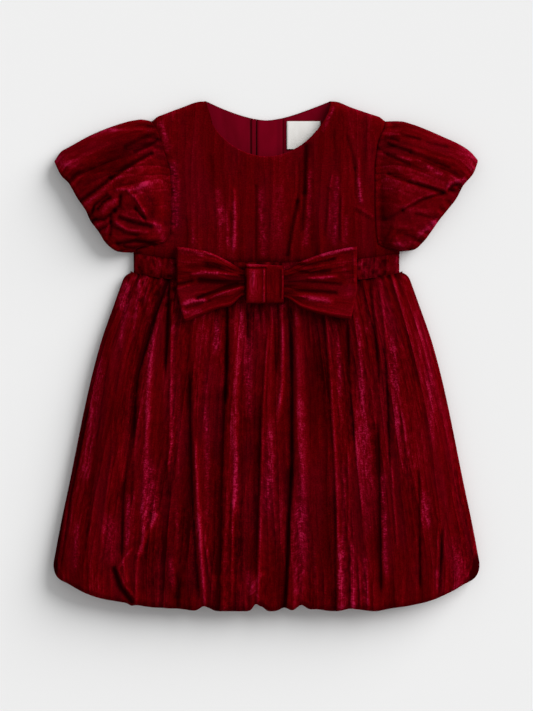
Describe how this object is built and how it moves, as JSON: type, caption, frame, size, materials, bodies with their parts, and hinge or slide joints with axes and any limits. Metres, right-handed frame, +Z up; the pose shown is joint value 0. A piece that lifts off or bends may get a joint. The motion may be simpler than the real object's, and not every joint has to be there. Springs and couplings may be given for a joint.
{
  "type": "toddler party dress",
  "caption": "Toddler party dress in dark red crushed velvet with short puff sleeves, a front bow and a gathered bubble-hem skirt, laid flat on its back.",
  "frame": {"origin": "centre of the dress's outline, on the surface that it lies on", "axes": "+X towards the right of the dress as it is looked down on, +Y from hem to neck, +Z up from the surface, out of the front"},
  "size_m": [0.3828, 0.458, 0.0246],
  "materials": {
    "velvet": "crushed velvet pile with a soft pink sheen on the flattened streaks",
    "lining": "smooth lining cloth with a slight satin sheen",
    "label": "bare woven ribbon label"
  },
  "bodies": {
    "root": {"skirt_front": "velvet", "skirt_back": "velvet", "waistband_front": "velvet", "waistband_back": "velvet", "bodice_front": "velvet", "bodice_back_left": "velvet", "bodice_back_right": "velvet", "sleeve_left": "velvet", "sleeve_right": "velvet", "bow_left": "velvet", "bow_right": "velvet", "bow_knot": "velvet", "back_lining_left": "lining", "back_lining_right": "lining", "placket_under": "lining", "placket_over": "lining", "neck_label": "label"}
  },
  "joints": []
}
